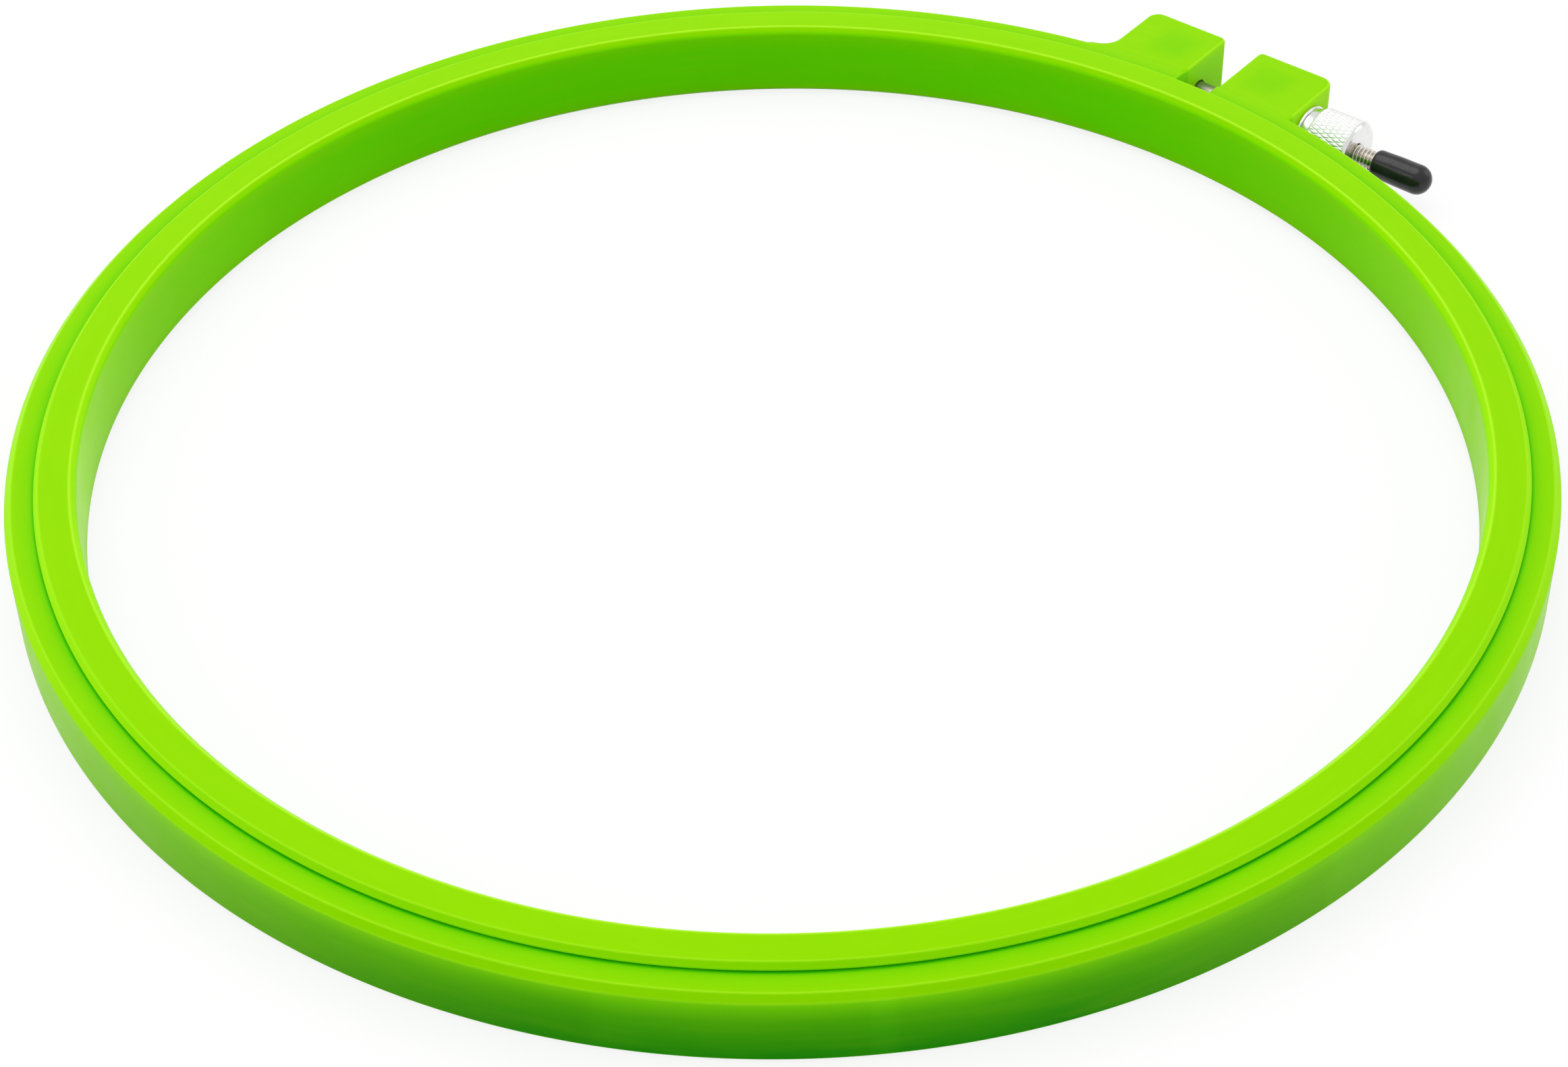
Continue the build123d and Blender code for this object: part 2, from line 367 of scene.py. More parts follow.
def build_outer_ring():
    ring = lathe_z("outer_ring_body", round_corners(OUTER_PROFILE, 5))
    # the split through the band, a hair wider than between the lug faces
    half = GAP / 2 + 0.02
    split = [(-half, 118), (half, 118), (half, 140), (-half, 140)]
    boolean(ring, block("slot", split, LOW - 5, HIGH + 5), "DIFFERENCE")
    boolean(ring, lug_solid("lug_r", nut_lug_outline()), "UNION")
    boolean(ring, lug_solid("lug_l", head_lug_outline()), "UNION")
    # recesses under the lugs
    (near_x, far_x), (near_y, far_y) = RECESS_X, RECESS_Y
    for side in (-1, 1):
        plan = [(near_x, near_y), (far_x, near_y), (far_x, far_y), (near_x, far_y)]
        plan = round_corners([(side * x, y, RECESS_ROUND) for x, y in plan], 6)
        boolean(ring, block("recess", plan, LOW - 3, LOW + RECESS_DEPTH), "DIFFERENCE")
    # screw hole, and the hexagonal pocket in the head-side lug
    outside = LUG_X + 2
    hole = lathe_x("hole", [(-outside, HOLE_R), (outside, HOLE_R)], 64, closed=False)
    boolean(ring, hole, "DIFFERENCE")
    corner_r = POCKET_AF / 2 / math.cos(math.pi / 6)
    pocket = lathe_x("pocket", [(-outside, corner_r), (SEAT_X, corner_r)], 6, closed=False)
    boolean(ring, pocket, "DIFFERENCE")
    tidy(ring)
    shade(ring, 36)
    weight_normals(ring)
    return ring


# ------------------------------------------------------------------ clamp screw
def build_screw():
    def cone(x):
        """Chamfer of the head's outer face, which trims the hexagon's corners."""
        return (x, 3.2 + (x - HEAD_X) * 1.25)

    rows = [(HEAD_X, 1.6), (HEAD_X, 3.05), (HEAD_X + 0.04, 3.2)]
    rows += [cone(HEAD_X + 0.1 * k) for k in range(1, 8)]
    rows += [cone(SEAT_X - 0.12), cone(SEAT_X)]
    head_rows = len(rows)
    rows += [
        (SEAT_X, THREAD_R + 0.25),
        (SEAT_X + 0.08, THREAD_R + 0.07),
        (SEAT_X + 0.25, THREAD_R),
        (SEAT_X + 4, THREAD_R),
        (THREAD_START - 3, THREAD_R),
        (THREAD_START - 0.6, THREAD_R),
    ]
    first = len(rows)
    step = PITCH / 16
    count = int((THREAD_STOP - THREAD_START) / step)
    rows += [(THREAD_START + step * k, CORE_R) for k in range(count + 1)]
    last = len(rows)
    rows += [(SCREW_END - 0.25, CORE_R - 0.12), (SCREW_END, CORE_R - 0.4), (SCREW_END, 0.35)]

    def shape(x, radius, angle, row):
        if 1 <= row < head_rows:
            off_flat = (angle + math.pi / 6) % (math.pi / 3) - math.pi / 6
            flat = HEAD_AF / 2 / math.cos(off_flat)
            if row == head_rows - 1:
                flat -= 0.08  # eased edge at the seat
            return min(flat, radius)
        if first <= row < last:
            # 0 at a crest, 1 at a root
            depth = zigzag((x - THREAD_START) / PITCH - angle / (2 * math.pi))
            height = soften(min(1.0, max(0.0, (1.0 - depth - 0.10) / 0.74)), 0.35)
            fade_in = min(1.0, (x - THREAD_START) / 0.5)
            fade_out = min(1.0, max(0.0, (THREAD_STOP - x) / 0.7))
            thread = CORE_R + (THREAD_R - CORE_R) * height * fade_out
            return THREAD_R + (thread - THREAD_R) * fade_in
        return radius

    return lathe_x("clamp_screw_body", rows, 72, closed=False, shape=shape, sharp=50)


# ------------------------------------------------------------------ washer
def build_washer():
    corners = [
        (WASHER_X, WASHER_BORE, 0.08),
        (WASHER_X, WASHER_R, 0.1),
        (WASHER_X + WASHER_T, WASHER_R, 0.22),
        (WASHER_X + WASHER_T, WASHER_BORE, 0.08),
    ]
    washer = lathe_x("washer_body", round_corners(corners, 4), 128, sharp=40)
    weight_normals(washer)
    return washer


# ------------------------------------------------------------------ thumb nut
def build_nut():
    # x, radius, corner radius
    neck = [
        (NUT_X + 0.3, NUT_BORE, 0),
        (NUT_X, NUT_BORE + 0.3, 0.05),
        (NUT_X, NECK_R - 0.2, 0.06),
        (NUT_X + 0.2, NECK_R, 0.08),
        (BARREL_X, NECK_R, 0.12),
        (BARREL_X, NUT_R - 0.5, 0),
    ]
    rows = round_corners(neck, 3, closed=False)
    rows += [(BARREL_X + 0.1, NUT_R - 0.33), (BARREL_X + 0.2, NUT_R - 0.2)]
    first = len(rows)
    length = KNURL_END - KNURL_X
    rows += [(KNURL_X + length * k / KNURL_ROWS, NUT_R) for k in range(KNURL_ROWS + 1)]
    last = len(rows)
    # chamfered end face, then the mouth of the bore
    rows += [
        (NUT_END - 0.52, NUT_R - 0.16),
        (NUT_END - 0.30, NUT_R - 0.36),
        (NUT_END - 0.10, NUT_R - 0.56),
        (NUT_END - 0.03, NUT_R - 0.64),
        (NUT_END, NUT_R - 0.74),
        (NUT_END, NUT_BORE + 0.75),
        (NUT_END - 0.02, NUT_BORE + 0.55),
        (NUT_END - 0.10, NUT_BORE + 0.40),
        (NUT_END - 0.30, NUT_BORE + 0.20),
        (NUT_END - 0.50, NUT_BORE),
    ]

    def shape(x, radius, angle, row):
        if not first <= row < last:
            return radius
        # two crossing sets of grooves leave diamonds
        around = angle * KNURL_COUNT / (2 * math.pi)
        along = (x - KNURL_X) / KNURL_L
        height = min(zigzag(around + along), zigzag(around - along))
        height = soften(min(1.0, height * 1.9), 0.3)
        knurl = NUT_R - KNURL_DEPTH * (1 - height)
        # the knurl runs out at both ends
        ends = min(1.0, (x - KNURL_X) / 0.22, (KNURL_END - x) / 0.16)
        if ends >= 1.0:
            return knurl
        rim = NUT_R - 0.16
        return rim + (knurl - rim) * max(0.0, ends)

    return lathe_x("thumb_nut_body", rows, KNURL_COUNT * 14, shape=shape, sharp=48)


# ------------------------------------------------------------------ end cap
def build_cap():
    # the bore, from its blind end back to the mouth
    rows = [(SCREW_END + 0.3, 0.3), (SCREW_END + 0.3, CAP_BORE - 0.15)]
    rows += [(SCREW_END + 0.15, CAP_BORE)]
    rows += [(SCREW_END - 2.0 * k, CAP_BORE) for k in range(1, 4)]
    rows += [(CAP_X + 0.2, CAP_BORE), (CAP_X + 0.05, CAP_BORE + 0.06)]
    rows += [(CAP_X, CAP_BORE + 0.18), (CAP_X, MOUTH_R - 0.55)]
    # rolled rim, slightly tapered wall, domed end
    for turn in quarter(8)[1:]:
        rows.append((CAP_X + RIM_L * (1 - math.cos(turn)), MOUTH_R - RIM_H + RIM_H * math.sin(turn)))
    dome_x = CAP_END - CAP_R
    for k in range(1, 16):
        part = k / 16
        x = CAP_X + RIM_L + (dome_x - CAP_X - RIM_L) * part
        rows.append((x, MOUTH_R + (CAP_R - MOUTH_R) * part))
    for turn in quarter(25)[:-1]:
        rows.append((dome_x + CAP_R * math.sin(turn), CAP_R * math.cos(turn)))
    rows.append((CAP_END - 0.002, 0.06))

    def shape(x, radius, angle, row):
        if radius < CAP_BORE + 0.3:
            return radius
        # dipped vinyl is never quite true
        two_lobes = 0.006 * math.sin(2 * angle + 0.9 * x)
        three_lobes = 0.004 * math.sin(3 * angle - 0.5 * x)
        return radius * (1 + two_lobes + three_lobes) - 0.02

    return lathe_x("end_cap_body", rows, 96, closed=False, shape=shape, sharp=50)


# ------------------------------------------------------------------ shader tools
FALL = (1.0, 0.0)  # output of a remap that fades out over its span


class Shader:
    """A material whose surface is one shader node. Inputs take a socket or a plain value."""

    def __init__(self, name, surface="ShaderNodeBsdfPrincipled"):
        self.mat = bpy.data.materials.new(name)
        self.mat.use_nodes = True
        self.tree = self.mat.node_tree
        self.tree.nodes.clear()
        output = self.node("ShaderNodeOutputMaterial")
        self.surface = self.node(surface)
        self.feed(output, {"Surface": self.surface.outputs[0]})

    def node(self, kind, inputs=None, **settings):
        node = self.tree.nodes.new(kind)
        for key, setting in settings.items():
            setattr(node, key, setting)
        self.feed(node, inputs or {})
        return node

    def feed(self, node, inputs):
        for key, value in inputs.items():
            if isinstance(value, bpy.types.NodeSocket):
                self.tree.links.new(value, node.inputs[key])
            else:
                node.inputs[key].default_value = value

    def finish(self, inputs):
        self.feed(self.surface, inputs)
        return self.mat

    def math(self, operation, *values, clamp=False):
        inputs = dict(enumerate(values))
        return self.node("ShaderNodeMath", inputs, operation=operation, use_clamp=clamp).outputs[0]

    def times(self, one, two):
        return self.math("MULTIPLY", one, two)

    def plus(self, one, two, clamp=False):
        return self.math("ADD", one, two, clamp=clamp)

    def minus(self, one, two):
        return self.math("SUBTRACT", one, two)

    def invert(self, value, clamp=False):
        return self.math("SUBTRACT", 1.0, value, clamp=clamp)

    def fade(self, value, strength, clamp=False):
        return self.math("MULTIPLY", value, strength, clamp=clamp)

    def hypot(self, one, two):
        return self.math("SQRT", self.plus(self.times(one, one), self.times(two, two)))

    def noise(self, vector, scale, detail, roughness, distortion=0.0):
        inputs = {"Vector": vector, "Scale": scale, "Detail": detail}
        inputs |= {"Roughness": roughness, "Distortion": distortion}
        return self.node("ShaderNodeTexNoise", inputs).outputs["Fac"]

    def mix(self, mask, under, over):
        inputs = {0: mask, 6: under, 7: over}
        return self.node("ShaderNodeMix", inputs, data_type="RGBA").outputs[2]

    def remap(self, value, span, to=(0.0, 1.0), smooth=False):
        kind = "SMOOTHSTEP" if smooth else "LINEAR"
        inputs = {0: value, 1: span[0], 2: span[1], 3: to[0], 4: to[1]}
        return self.node("ShaderNodeMapRange", inputs, interpolation_type=kind).outputs[0]

    def remap_mm(self, value, span, **settings):
        """Remap of a length, with its span in millimetres."""
        return self.remap(value, (span[0] * MM, span[1] * MM), **settings)

    def object_coords(self):
        return self.node("ShaderNodeTexCoord").outputs["Object"]

    def split(self, vector):
        return self.node("ShaderNodeSeparateXYZ", {0: vector}).outputs

    def join(self, x, y, z):
        return self.node("ShaderNodeCombineXYZ", {0: x, 1: y, 2: z}).outputs[0]

    def bump(self, height, strength, distance, normal=None):
        inputs = {"Strength": strength, "Distance": distance, "Height": height}
        if normal is not None:
            inputs["Normal"] = normal
        return self.node("ShaderNodeBump", inputs).outputs[0]


# ------------------------------------------------------------------ lime plastic
# painted shade under the lip and beside the lugs
PAINTED_SHADE_GREEN = (0.02, 0.54, 0.0, 1)
# painted light at the top of the walls
CROWN_PAINTED_LIGHT = (0.23, 0.80, 0.0, 1)
PAINTED_LIGHT_LIME = (0.42, 0.92, 0.0, 1)  # painted light, standing for light that has come through the plastic
# painted highlight on the chamfers
CHAMFER_HIGHLIGHT_LIME = (0.40, 0.90, 0.0, 1)
DEEP_LIME_PIGMENT_AND_SHADE = (0.16, 0.60, 0.0, 1)
# cloudy pigment, and painted shade over the lug recesses
FLOW_LIME = (0.40, 0.82, 0.01, 1)
# painted highlight along thin edges
RIM_HIGHLIGHT_LIME = (0.46, 0.86, 0.03, 1)


def plastic_sockets(mat, seed):
    """Position and facing values that the tints share."""
    coords = mat.object_coords()
    x, y, z = mat.split(coords)
    radius = mat.hypot(x, y)
    # coordinates that run round the hoop: arc length (metres), then stretched radius and height
    arc = mat.math("MULTIPLY_ADD", mat.math("ARCTAN2", x, y), 0.125, seed)
    flow = mat.join(arc, mat.times(radius, 9.0), mat.times(z, 9.0))
    shift = {0: coords, 1: (seed, seed * 0.7, -seed)}
    pos = mat.node("ShaderNodeVectorMath", shift, operation="ADD").outputs[0]
    up = mat.split(mat.node("ShaderNodeNewGeometry").outputs["Normal"])[2]
    level = mat.remap(up, span=(0.05, 0.86), smooth=True)
    oblique = mat.node("ShaderNodeLayerWeight", {"Blend": 0.5}).outputs["Facing"]
    return SimpleNamespace(
        x=x, y=y, z=z, radius=radius, flow=flow, pos=pos, up=up, level=level, oblique=oblique
    )


def outer_painted_shade(mat, at, base, foot):
    """Painted shade: darkens the outside wall towards its base, and the top beside the lip and lugs.
    """
    # painted shade: the outside wall darkens towards its base, most where it faces the view
    depth = mat.remap_mm(at.z, span=(LOW, HIGH - 1.5), to=FALL)
    depth = mat.math("POWER", depth, 0.52)
    near = mat.remap_mm(at.radius, span=(OUTER_R - 1.3, OUTER_R - 0.2))
    band = mat.remap_mm(at.radius, span=(OUTER_R + 0.1, OUTER_R + 1.2), to=FALL)
    mask = mat.times(mat.times(depth, near), mat.times(band, mat.invert(at.level)))
    mask = mat.times(mask, mat.remap(at.oblique, span=(0.40, 0.90), to=(1.0, 0.2)))
    base = mat.mix(mask, base, foot)
    # painted shade: the top is darkened where the lip or a lug stands over it, by an ambient
    # occlusion mask
    occlusion = mat.node("ShaderNodeAmbientOcclusion", {"Distance": 0.005}, samples=6)
    lip_shade = mat.remap(occlusion.outputs["AO"], span=(0.62, 0.98), to=FALL)
    return mat.mix(mat.times(lip_shade, at.level), base, PAINTED_SHADE_GREEN)


def plastic_tint(mat, at, top, wall, foot):
    # painted light and shade: level and upright faces get different tints, standing for how the
    # light falls on each
    base = mat.mix(at.level, wall, top)
    # painted light: the top of each wall is painted brighter, as if glowing through the thin plastic
    crown = HIGH - OUTER_CHAMFER if foot else HIGH + 0.3
    glow = mat.math("POWER", mat.remap_mm(at.z, span=(crown - 3.8, crown)), 1.6)
    glow = mat.times(glow, mat.invert(at.level))
    if foot:
        base = outer_painted_shade(mat, at, base, foot)
    base = mat.mix(mat.fade(glow, strength=0.88 if foot else 0.72), base, CROWN_PAINTED_LIGHT)
    # painted light: a wall seen edge-on is painted brighter, standing for light that has come
    # through the band
    start, full = (0.40, 0.75) if foot else (0.25, 1.0)
    through = mat.remap(at.oblique, span=(start, 0.93), to=(0.0, full))
    base = mat.mix(mat.times(through, mat.invert(at.level)), base, PAINTED_LIGHT_LIME)
    # painted highlight: chamfers are painted as catching the light when they are seen from the side
    chamfer_highlight = mat.times(
        mat.remap(at.up, span=(0.45, 0.60)), mat.remap(at.up, span=(0.80, 0.95), to=FALL)
    )
    chamfer_highlight = mat.times(chamfer_highlight, mat.remap(at.oblique, span=(0.12, 0.60), to=(0.0, 0.7)))
    base = mat.mix(chamfer_highlight, base, CHAMFER_HIGHLIGHT_LIME)
    if not foot:
        # painted light: the foot of the inner band is painted brighter, standing for light bounced
        # off the floor
        low_span = (INNER_LOW, INNER_LOW + 3.4)
        bounce = mat.remap_mm(at.z, span=low_span, to=(0.34, 0.0), smooth=True)
        base = mat.mix(mat.times(bounce, mat.invert(at.level)), base, top)
    # cloudy pigment and faint flow lines from the mould
    cloud = mat.noise(at.pos, scale=38.0, detail=4.0, roughness=0.55)
    base = mat.mix(mat.remap(cloud, span=(0.35, 0.7), to=(0.0, 0.10)), base, DEEP_LIME_PIGMENT_AND_SHADE)
    lines = mat.noise(at.flow, scale=55.0, detail=2.0, roughness=0.4)
    return mat.mix(mat.remap(lines, span=(0.45, 0.75), to=(0.0, 0.07)), base, FLOW_LIME)


def rim_highlight_mask(mat, at, rims):
    """Painted highlights: pale lines round the hoop along the given thin edges."""
    edge = None
    for radius, height, width, strength in rims:
        across = mat.minus(at.radius, radius * MM)
        above = mat.minus(at.z, height * MM)
        distance = mat.hypot(across, above)
        line = mat.remap_mm(distance, span=(0.0, width), to=(strength, 0.0), smooth=True)
        edge = line if edge is None else mat.math("MAXIMUM", edge, line)
    return edge


def lug_tint(mat, at, base, edge):
    """Colours the lugs with painted light and shade, and returns the base colour and the mask of
    painted rim highlights.
    """
    # no painted highlight line where the lugs run into the ring
    beside = mat.remap_mm(mat.math("ABSOLUTE", at.x), span=(LUG_X + 1.6, LUG_X + 3.2), to=FALL)
    free = mat.times(beside, mat.remap_mm(at.y, span=(110.0, 115.0)))
    edge = mat.times(edge, mat.invert(free))
    # painted highlight along the rounded rims of the lugs, where the face is neither level nor
    # upright
    rim = mat.times(
        mat.remap(at.up, span=(0.30, 0.62)), mat.remap(at.up, span=(0.80, 0.985), to=FALL)
    )
    lug = mat.remap_mm(at.radius, span=(OUTER_R + 0.3, OUTER_R + 0.9))
    edge = mat.math("MAXIMUM", edge, mat.fade(mat.times(rim, lug), strength=0.55))
    # painted light: the lugs' sides are painted bright, standing for light through the translucent
    # plastic
    side = mat.times(mat.invert(at.level), lug)
    base = mat.mix(mat.fade(side, strength=0.85), base, PAINTED_LIGHT_LIME)
    # painted shade: a deeper patch on each lug's top, over the recess beneath
    patch_x, patch_y = 10.8, 137.6
    off_x = mat.math("ABSOLUTE", mat.minus(mat.math("ABSOLUTE", at.x), patch_x * MM))
    off_y = mat.math("ABSOLUTE", mat.minus(at.y, patch_y * MM))
    patch = mat.times(
        mat.remap_mm(off_x, span=(1.4, 6.2), to=FALL, smooth=True),
        mat.remap_mm(off_y, span=(1.4, 6.8), to=FALL, smooth=True),
    )
    recess_shade = mat.times(patch, mat.times(lug, at.level))
    return mat.mix(mat.fade(recess_shade, strength=0.45), base, DEEP_LIME_PIGMENT_AND_SHADE), edge


def plastic_wear(mat, at):
    """Handling marks: returns roughness and normal."""
    # fine hairlines round the hoop, and scattered scuffs
    hair = mat.noise(at.flow, scale=900.0, detail=2.0, roughness=0.6)
    hair = mat.remap(hair, span=(0.62, 0.72))
    scuff = mat.noise(at.pos, scale=420.0, detail=5.0, roughness=0.7, distortion=0.6)
    patch = mat.noise(at.pos, scale=60.0, detail=2.0, roughness=0.5)
    patch = mat.remap(patch, span=(0.56, 0.68))
    scuff = mat.times(mat.remap(scuff, span=(0.58, 0.66)), patch)
    rough = mat.noise(at.pos, scale=160.0, detail=3.0, roughness=0.5)
    rough = mat.remap(rough, span=(0.3, 0.7), to=(0.30, 0.38))
    rough = mat.plus(rough, mat.fade(scuff, strength=0.16))
    rough = mat.plus(rough, mat.fade(hair, strength=0.05), clamp=True)
    # surface texture, sink marks, then the marks themselves
    peel = mat.noise(at.pos, scale=520.0, detail=2.0, roughness=0.5)
    normal = mat.bump(peel, strength=0.10, distance=0.00012)
    sink = mat.noise(at.pos, scale=70.0, detail=1.0, roughness=0.4)
    normal = mat.bump(sink, strength=0.18, distance=0.0009, normal=normal)
    marks = mat.plus(mat.fade(scuff, strength=0.6), mat.fade(hair, strength=0.25))
    return rough, mat.bump(marks, strength=0.12, distance=0.00006, normal=normal)


def plastic(name, top, wall, foot, seed, rims):
    """Moulded, slightly translucent lime plastic: top colours level faces and wall upright ones, two
    tints painted to stand for how the light falls on them.
    foot, on the outer ring only, is the painted shade colour that the outside wall darkens to at its
    base.
    rims lists thin edges that get a painted highlight, paler: radius, height, width, strength."""
    mat = Shader(name)
    at = plastic_sockets(mat, seed)
    base = plastic_tint(mat, at, top, wall, foot)
    edge = rim_highlight_mask(mat, at, rims)
    if foot:
        base, edge = lug_tint(mat, at, base, edge)
    rough, normal = plastic_wear(mat, at)
    return mat.finish({
        "Base Color": mat.mix(edge, base, RIM_HIGHLIGHT_LIME),
        "Roughness": rough,
        "Normal": normal,
        "IOR": 1.49,
        "Specular IOR Level": 0.045,
        "Specular Tint": (0.6, 1.0, 0.05, 1.0),
        "Subsurface Weight": 0.25,
        "Subsurface Radius": (0.55, 1.0, 0.05),
        "Subsurface Scale": 0.0016,
    })


# ------------------------------------------------------------------ metals and vinyl
def screw_radius(mat, y, z):
    """Distance from the screw's axis."""
    return mat.hypot(mat.minus(y, AXIS_Y * MM), mat.minus(z, AXIS_Z * MM))


def aluminium(name):
    """Bright turned aluminium with tool marks, darker in the grooves of the knurl."""
    mat = Shader(name)
    coords = mat.object_coords()
    x, y, z = mat.split(coords)
    radius = screw_radius(mat, y, z)
    axial = mat.join(mat.times(x, 1.0), mat.times(radius, 1.0), 0.0)
    tool = mat.noise(axial, scale=5200.0, detail=3.0, roughness=0.6)
    cloud = mat.noise(coords, scale=700.0, detail=3.0, roughness=0.5)
    crest = mat.remap_mm(radius, span=(NUT_R - KNURL_DEPTH, NUT_R - 0.03))
    knurled = mat.times(
        mat.remap_mm(x, span=(BARREL_X - 0.1, BARREL_X)),
        mat.remap_mm(x, span=(NUT_END - 0.7, NUT_END - 0.5), to=FALL),
    )
    light, dark, groove_dark = (0.90, 0.90, 0.895, 1), (0.80, 0.80, 0.79, 1), (0.50, 0.50, 0.49, 1)
    colour = mat.mix(mat.remap(cloud, span=(0.3, 0.7), to=(0.0, 0.5)), dark, light)
    # darker towards the roots of the knurl's grooves
    groove_mask = mat.times(mat.invert(crest, clamp=True), knurled)
    colour = mat.mix(mat.fade(groove_mask, strength=0.22), colour, groove_dark)
    rough = mat.remap(tool, span=(0.3, 0.7), to=(0.15, 0.22))
    rough = mat.plus(rough, mat.fade(knurled, strength=0.14))
    # the rolled knurl is crazed and scatters light like a dull white
    metallic = mat.invert(mat.fade(knurled, strength=0.5))
    normal = mat.bump(tool, strength=0.16, distance=0.00003)
    grain = mat.noise(coords, scale=2600.0, detail=2.0, roughness=0.5)
    tangent = mat.node("ShaderNodeTangent", direction_type="RADIAL", axis="X")
    return mat.finish({
        "Base Color": colour,
        "Roughness": rough,
        "Metallic": metallic,
        "Normal": mat.bump(grain, strength=0.08, distance=0.00004, normal=normal),
        "Anisotropic": 0.35,
        "Tangent": tangent.outputs[0],
    })


def nickel(name):
    """Warm nickel plate, darker in the thread's roots."""
    mat = Shader(name)
    coords = mat.object_coords()
    x, y, z = mat.split(coords)
    root = mat.remap_mm(screw_radius(mat, y, z), span=(CORE_R, THREAD_R), to=FALL)
    cloud = mat.noise(coords, scale=900.0, detail=4.0, roughness=0.6)
    dark, light = (0.66, 0.62, 0.54, 1), (0.80, 0.77, 0.70, 1)
    root_brown, shank_shade_grey = (0.30, 0.27, 0.21, 1), (0.16, 0.17, 0.12, 1)
    colour = mat.mix(mat.remap(cloud, span=(0.35, 0.7)), dark, light)
    colour = mat.mix(mat.fade(root, strength=0.45, clamp=True), colour, root_brown)
    # painted shade: the plain shank between the lugs is painted darker, and made rougher
    shank_shade = mat.remap_mm(x, span=(5.0, 6.5), to=(0.7, 0.0))
    colour = mat.mix(shank_shade, colour, shank_shade_grey)
    rough = mat.noise(coords, scale=1800.0, detail=2.0, roughness=0.5)
    rough = mat.remap(rough, span=(0.3, 0.7), to=(0.14, 0.26))
    grain = mat.noise(coords, scale=3200.0, detail=3.0, roughness=0.6)
    return mat.finish({
        "Base Color": colour,
        "Roughness": mat.plus(rough, mat.fade(shank_shade, strength=0.25)),
        "Normal": mat.bump(grain, strength=0.12, distance=0.00003),
        "Metallic": 1.0,
    })


def vinyl(name):
    """Glossy black dipped vinyl with a slightly wavy skin."""
    mat = Shader(name)
    coords = mat.object_coords()
    cloud = mat.noise(coords, scale=380.0, detail=3.0, roughness=0.5)
    dark, light = (0.009, 0.009, 0.010, 1), (0.020, 0.019, 0.020, 1)
    rough = mat.noise(coords, scale=650.0, detail=3.0, roughness=0.5)
    wave = mat.noise(coords, scale=260.0, detail=1.0, roughness=0.4)
    wave = mat.bump(wave, strength=0.25, distance=0.00035)
    grain = mat.noise(coords, scale=1900.0, detail=2.0, roughness=0.5)
    return mat.finish({
        "Base Color": mat.mix(mat.remap(cloud, span=(0.3, 0.7)), dark, light),
        "Roughness": mat.remap(rough, span=(0.3, 0.7), to=(0.16, 0.28)),
        "Normal": mat.bump(grain, strength=0.06, distance=0.00004, normal=wave),
        "IOR": 1.54,
        "Specular IOR Level": 0.36,
    })


mat_outer = plastic(
    "lime_plastic_outer",
    # top and wall: painted light and shade, as tints for level and upright faces
    top=(0.262, 0.665, 0.0, 1),
    wall=(0.19, 0.79, 0.0, 1),
    # foot: painted shade at the base of the outside wall
    foot=(0.0, 0.285, 0.0, 1),
    seed=0.31,
    # rims: painted highlight lines along these edges
    rims=[
        (OUTER_R - OUTER_CHAMFER, HIGH, 0.35, 0.35),
        (OUTER_R, HIGH - OUTER_CHAMFER, 0.4, 0.25),
    ],
)
mat_inner = plastic(
    "lime_plastic_inner",
    # top and wall: painted light and shade, as tints for level and upright faces
    top=(0.272, 0.675, 0.0, 1),
    wall=(0.135, 0.79, 0.0, 1),
    foot=None,
    seed=1.73,
    # rims: painted highlight lines along these edges
    rims=[
        (INNER_BORE + BORE_CHAMFER, INNER_TOP, 0.45, 0.75),
        (LIP_R - LIP_CHAMFER, INNER_TOP, 0.35, 0.30),
        (LIP_R, HIGH + 0.6, 0.3, 0.12),
    ],
)
mat_nut = aluminium("turned_aluminium")
mat_washer = aluminium("bright_washer")
mat_screw = nickel("nickel_plated_steel")
mat_cap = vinyl("black_vinyl")


# ------------------------------------------------------------------ pieces
def place(obj, mat, body, node):
    obj.data.materials.clear()
    obj.data.materials.append(mat)
    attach(obj, body)
    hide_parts(node)


place(build_outer_ring(), mat_outer, "outer_ring", "outer_ring")
place(build_inner_ring(), mat_inner, "inner_ring", "inner_ring")
place(build_screw(), mat_screw, "outer_ring", "clamp_screw")
place(build_washer(), mat_washer, "washer", "washer")
place(build_nut(), mat_nut, "thumb_nut", "thumb_nut")
place(build_cap(), mat_cap, "outer_ring", "end_cap")


# ------------------------------------------------------------------ stage
def floor_material():
    """Near-white to look at, but grey to diffuse rays, so that it throws little light back."""
    mat = Shader("pale_floor", surface="ShaderNodeMixShader")
    lit = mat.node("ShaderNodeBsdfDiffuse", {0: (0.95, 0.95, 0.95, 1)})
    glow = mat.node("ShaderNodeEmission", {0: (1, 1, 1, 1), 1: 1.0})
    glow_share = 0.84
    seen = {0: glow_share, 1: lit.outputs[0], 2: glow.outputs[0]}
    seen = mat.node("ShaderNodeMixShader", seen)
    grey = mat.node("ShaderNodeBsdfDiffuse", {0: (0.20, 0.20, 0.20, 1)})
    diffuse_ray = mat.node("ShaderNodeLightPath").outputs["Is Diffuse Ray"]
    return mat.finish({0: diffuse_ray, 1: seen.outputs[0], 2: grey.outputs[0]})


def build_floor():
    half, drop = 6.0, 0.00002  # metres; the drop keeps it clear of the hoop's underside
    mesh = bpy.data.meshes.new("floor")
    corners = [(-half, -half, 0), (half, -half, 0), (half, half, 0), (-half, half, 0)]
    mesh.from_pydata(corners, [], [(0, 1, 2, 3)])
    floor = bpy.data.objects.new("floor", mesh)
    floor.location = (0, 0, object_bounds()[0][2] - drop)
    bpy.context.scene.collection.objects.link(floor)
    mesh.materials.append(floor_material())


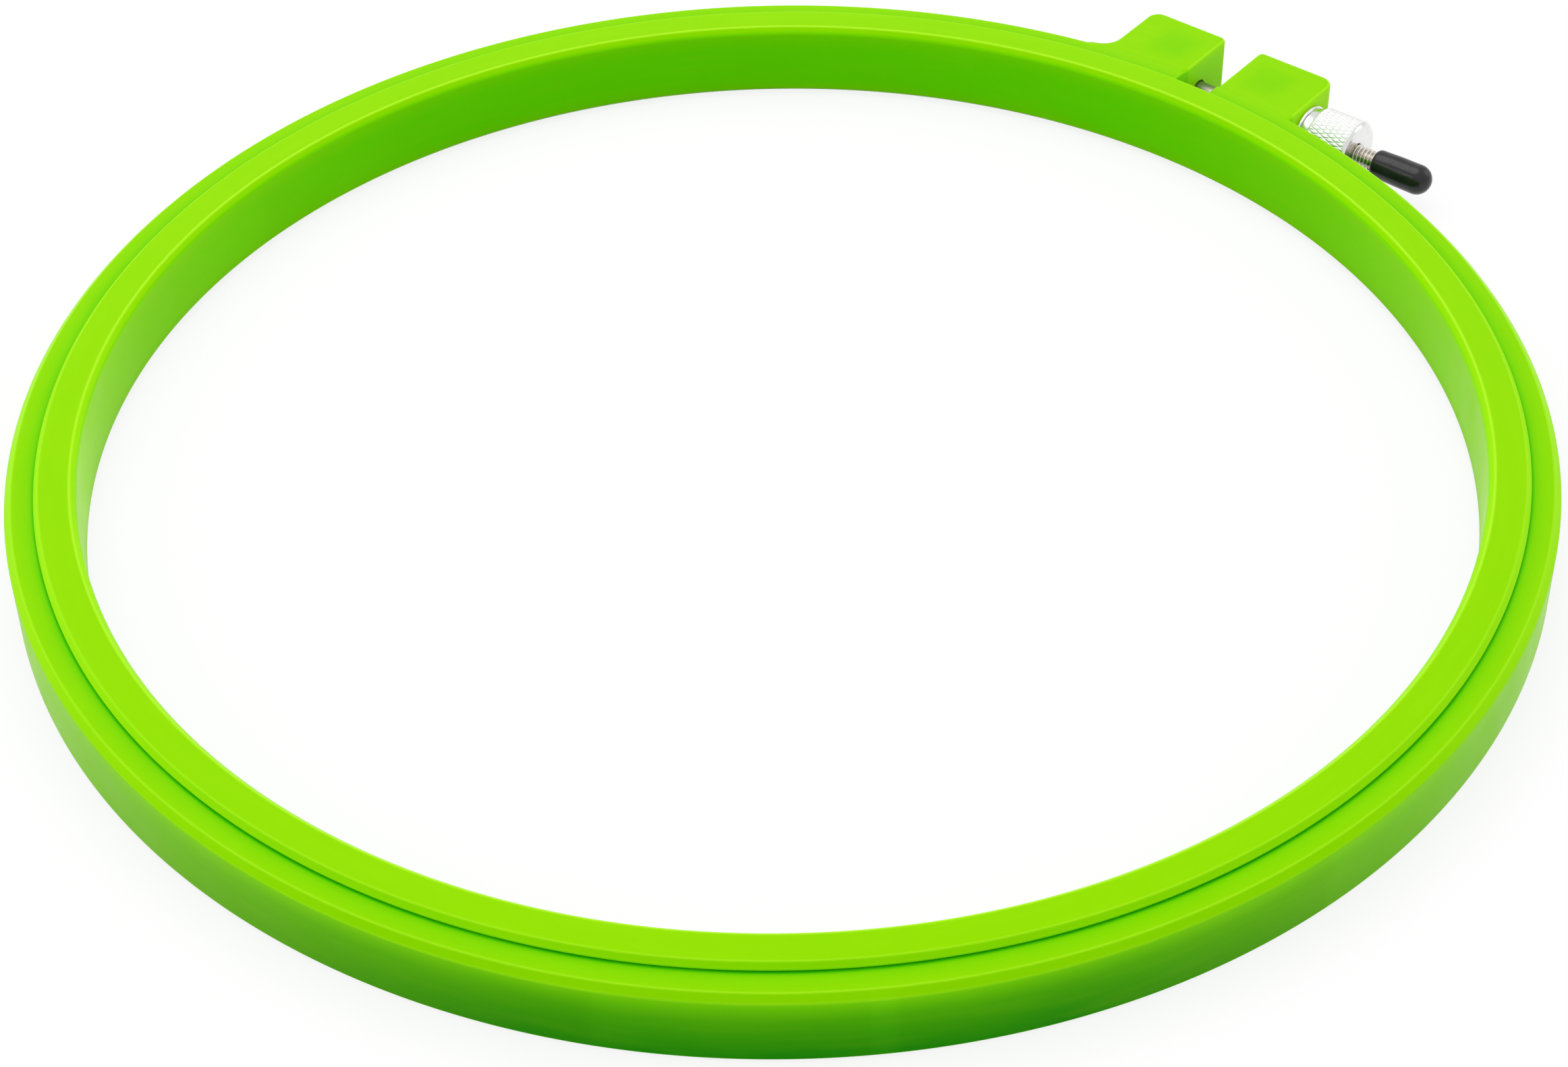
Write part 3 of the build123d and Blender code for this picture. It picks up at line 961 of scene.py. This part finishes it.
def build_world():
    world = bpy.data.worlds.new("studio")
    world.use_nodes = True
    background = world.node_tree.nodes["Background"]
    background.inputs["Color"].default_value = (1.0, 1.0, 1.0, 1)
    background.inputs["Strength"].default_value = 0.85
    bpy.context.scene.world = world


# Disk lights aimed at the origin: name; metres to the camera's right, towards the camera
# and up; diameter (m); power (W)
LIGHTS = [
    ("softbox_top", -0.15, -0.25, 0.95, 0.9, 3.2),
    ("fill_left", -0.9, 0.35, 0.55, 0.6, 1.0),
    ("fill_right", 0.9, -0.3, 0.45, 0.5, 0.6),
]
LIGHT_TURN = math.radians(39.0)


def build_lights():
    cos, sin = math.cos(LIGHT_TURN), math.sin(LIGHT_TURN)
    for name, right, toward, up, size, power in LIGHTS:
        data = bpy.data.lights.new(name, "AREA")
        data.shape = "DISK"
        data.size = size
        data.energy = power
        data.spread = math.radians(180.0)
        light = bpy.data.objects.new(name, data)
        spot = Vector((right * cos + toward * sin, right * sin - toward * cos, up))
        light.location = spot
        light.rotation_euler = (-spot).to_track_quat("-Z", "Y").to_euler()
        light.visible_camera = False
        bpy.context.scene.collection.objects.link(light)


def build_camera():
    tilt, roll, turn = -0.8552, 0.018, math.radians(39.16)
    # centre of the outer ring's top in the camera's axes, in outer radii
    centre = Vector((-0.0038, 0.153, -4.4345)) * OUTER_R * MM
    view = Matrix.Rotation(roll, 3, "Z") @ Matrix.Rotation(tilt, 3, "X")
    around = Matrix.Rotation(turn, 3, "Z")
    spot = around @ (-(view.transposed() @ centre)) + Vector((0, 0, HIGH * MM))
    facing = around @ view.transposed()
    data = bpy.data.cameras.new("camera")
    data.sensor_width = 36.0
    data.sensor_fit = "HORIZONTAL"
    data.lens = 78.273666
    data.clip_start = 0.01
    data.clip_end = 30.0
    camera = bpy.data.objects.new("camera", data)
    camera.matrix_world = Matrix.Translation(spot) @ facing.to_4x4()
    bpy.context.scene.collection.objects.link(camera)
    bpy.context.scene.camera = camera


build_floor()
build_world()
build_lights()
build_camera()

view_settings = bpy.context.scene.view_settings
view_settings.view_transform = "Standard"
view_settings.look = "None"
view_settings.exposure = 0.0
